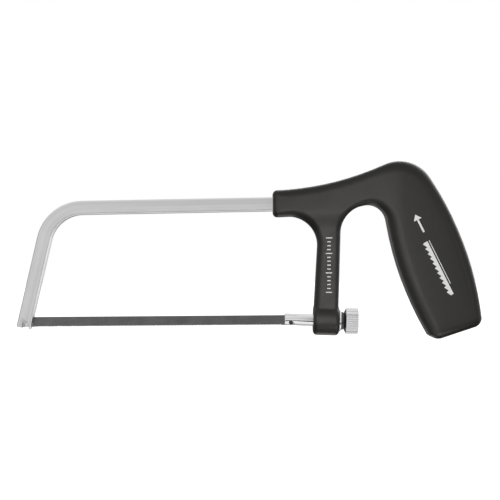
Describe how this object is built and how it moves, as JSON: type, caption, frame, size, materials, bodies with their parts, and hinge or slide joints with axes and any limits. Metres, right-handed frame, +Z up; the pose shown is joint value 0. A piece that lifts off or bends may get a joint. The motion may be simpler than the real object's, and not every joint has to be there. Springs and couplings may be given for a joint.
{
  "type": "junior hacksaw",
  "caption": "Junior hacksaw: bent square-bar bow, cast pistol-grip handle and a pin-ended blade drawn tight by a knurled nut on a tension rod.",
  "frame": {"origin": "middle of the front blade pin, where the bow's foot holds it", "axes": "+X along the blade from the front pin towards the grip, +Z up from the teeth to the bow's top bar, +Y across the saw; Y = 0 is its plane of symmetry"},
  "size_m": [0.2631, 0.025, 0.1008],
  "materials": {
    "cast_black": "black powder coat on a light-alloy casting, semi-matt",
    "satin_steel": "satin plated steel bar, drawn lengthwise",
    "blade_steel": "dark grey blade enamel, bare at the tooth tips",
    "pin_steel": "plain steel pin",
    "chrome": "bright chrome plate"
  },
  "bodies": {
    "frame": {"handle": "cast_black", "bow": "satin_steel", "washer": "chrome"},
    "rod": {"tension_rod": "chrome"},
    "blade": {"blade": "blade_steel", "front_blade_pin": "pin_steel", "rear_blade_pin": "pin_steel"},
    "nut": {"knurled_nut": "chrome"}
  },
  "joints": [
    {"name": "nut_turn", "type": "hinge", "parent": "frame", "child": "nut", "pos_m": [0.15, 0, 0.0016], "axis": [0.9994, 0, -0.0349], "range_deg": [0, 450]},
    {"name": "rod_slide", "type": "slide", "parent": "frame", "child": "rod", "axis": [0.9994, 0, -0.0349], "range_m": [-0.00126, 0]},
    {"name": "blade_swing", "type": "hinge", "parent": "rod", "child": "blade", "pos_m": [0.15, 0, 0], "axis": [0, 1, 0], "range_deg": [-35, 0]}
  ],
  "couplings": [
    {"joint": "rod_slide", "follows": "nut_turn", "m_per_rad": -0.00015915}
  ]
}
